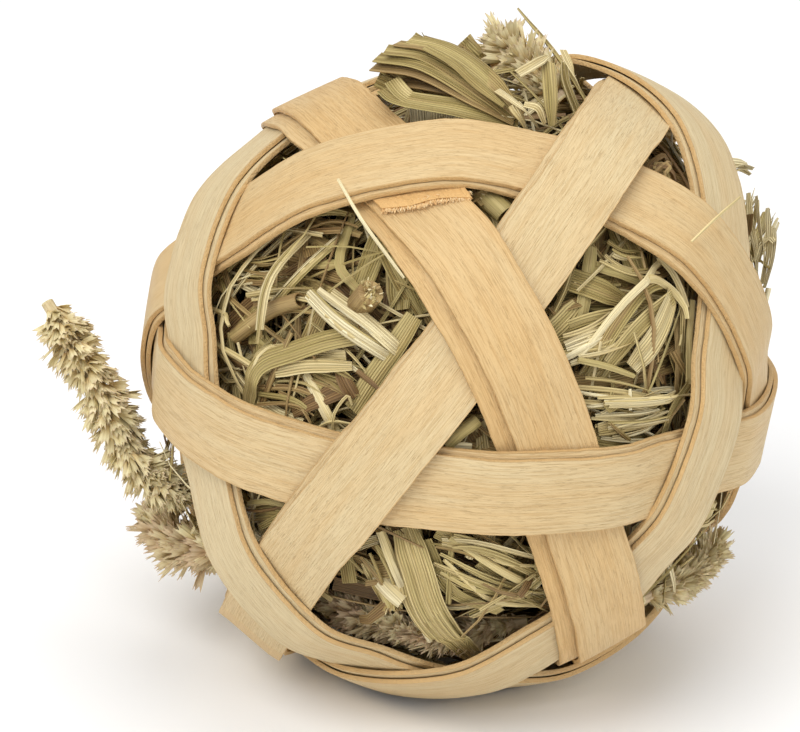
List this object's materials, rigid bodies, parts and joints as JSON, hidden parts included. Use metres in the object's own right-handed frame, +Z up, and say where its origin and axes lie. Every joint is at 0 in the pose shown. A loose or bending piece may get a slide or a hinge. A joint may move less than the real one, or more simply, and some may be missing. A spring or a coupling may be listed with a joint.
{
  "type": "woven veneer ball with hay",
  "caption": "Small ball woven over and under from pale wood-veneer strips, each wound twice round, with dried meadow hay inside and sticking out.",
  "frame": {"origin": "middle of the ball, which is its centre of mass", "axes": "+Z up as the ball stands, -Y towards the side that the picture shows, +X to that side's right"},
  "size_m": [0.1133, 0.1009, 0.1003],
  "materials": {
    "pale_veneer": "unvarnished peeled veneer with fine lengthwise grain and rough edges",
    "hay_in_shade": "dry hay lying in shade",
    "hay_stems": "dry grass stems, satin",
    "hay_leaves": "dry ribbed grass blades, matt",
    "hay_seed_heads": "dry seed heads, matt and rough"
  },
  "bodies": {
    "root": {"veneer_strip_1": "pale_veneer", "veneer_strip_2": "pale_veneer", "veneer_strip_3": "pale_veneer", "veneer_strip_4": "pale_veneer", "veneer_strip_5": "pale_veneer", "veneer_strip_6": "pale_veneer", "hay_wad": "hay_in_shade", "thin_stem_1": "hay_stems", "straw_1": "hay_stems", "straw_2": "hay_stems", "straw_3": "hay_stems", "straw_4": "hay_stems", "straw_5": "hay_stems", "straw_6": "hay_stems", "stub_1": "hay_stems", "stub_2": "hay_stems", "stub_3": "hay_stems", "thin_stem_2": "hay_stems", "straw_7": "hay_stems", "far_straw_1": "hay_stems", "far_straw_2": "hay_stems", "far_straw_3": "hay_stems", "far_straw_4": "hay_stems", "far_straw_5": "hay_stems", "leaf_blade_1": "hay_leaves", "leaf_blade_2": "hay_leaves", "leaf_blade_3": "hay_leaves", "leaf_blade_4": "hay_leaves", "leaf_blade_5": "hay_leaves", "leaf_blade_6": "hay_leaves", "leaf_blade_7": "hay_leaves", "leaf_blade_8": "hay_leaves", "fan_blade_1": "hay_leaves", "fan_blade_2": "hay_leaves", "fan_blade_3": "hay_leaves", "tuft_blade_1": "hay_leaves", "tuft_blade_2": "hay_leaves", "far_blade_1": "hay_leaves", "far_blade_2": "hay_leaves", "far_blade_3": "hay_leaves", "far_blade_4": "hay_leaves", "far_blade_5": "hay_leaves", "seed_head_left": "hay_seed_heads", "seed_head_low_left": "hay_seed_heads", "seed_head_top": "hay_seed_heads", "seed_head_right": "hay_seed_heads", "seed_head_low": "hay_seed_heads"}
  },
  "joints": []
}
